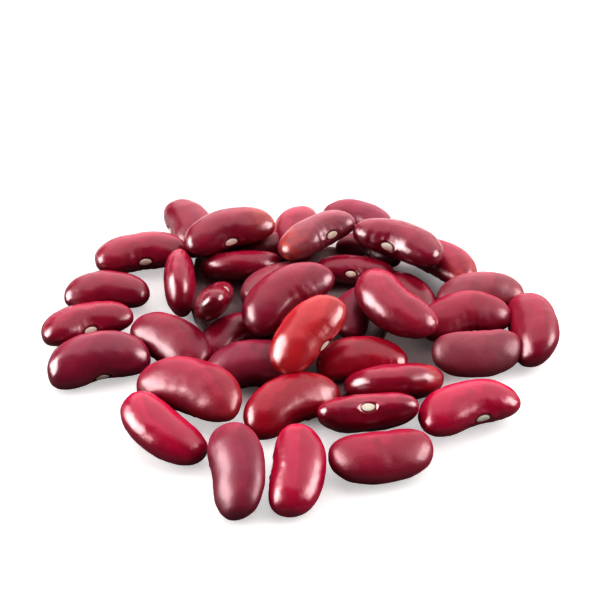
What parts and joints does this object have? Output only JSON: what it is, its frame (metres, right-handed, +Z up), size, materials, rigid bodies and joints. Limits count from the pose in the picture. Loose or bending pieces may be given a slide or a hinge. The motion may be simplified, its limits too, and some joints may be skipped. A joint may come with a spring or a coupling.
{
  "type": "heap of dried kidney beans",
  "caption": "Loose heap of dried red kidney beans as poured out on a flat surface, fused into one solid with a flat underside.",
  "frame": {"origin": "on the surface that the heap lies on, below the middle of the heap's box", "axes": "+Z up, +X to the right along the heap's longest side, -Y towards the near edge of the heap"},
  "size_m": [0.0886, 0.0796, 0.013],
  "materials": {
    "bean_skin": "smooth, glossy dark red seed coat with a pale eye on each bean"
  },
  "bodies": {
    "root": {"bean_heap": "bean_skin"}
  },
  "joints": []
}
